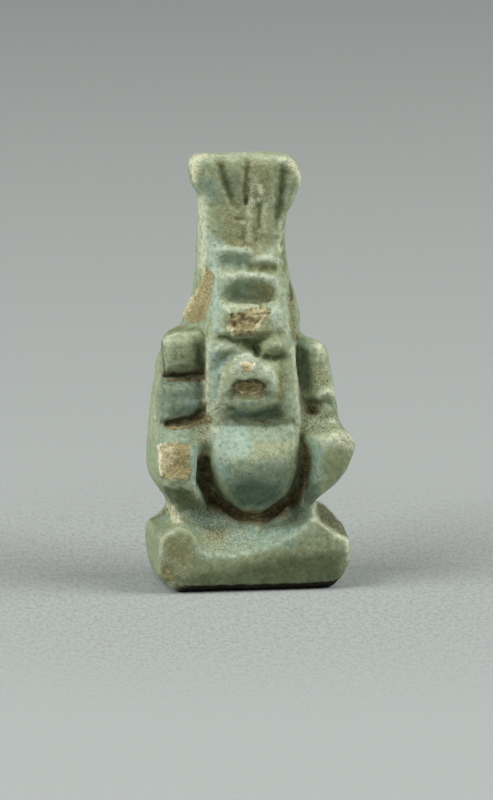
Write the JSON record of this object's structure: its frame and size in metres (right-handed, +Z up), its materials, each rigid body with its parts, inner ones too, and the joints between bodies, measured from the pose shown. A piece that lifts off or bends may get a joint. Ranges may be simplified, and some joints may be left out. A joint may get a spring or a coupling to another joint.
{
  "type": "bes figure",
  "caption": "Small moulded faience amulet: a squatting dwarf god with a tall crown of plumes on a low plinth, worn blue-green glaze with old chips, flat behind",
  "frame": {"origin": "under the middle of the bounding box, on the underside of the plinth", "axes": "+Z up, the face looks along -Y, the flat back is at +Y, and +X is to the right of someone facing it"},
  "size_m": [0.012, 0.0068, 0.025],
  "materials": {
    "faience": "satin"
  },
  "bodies": {
    "root": {"bes_amulet": "faience"}
  },
  "joints": []
}
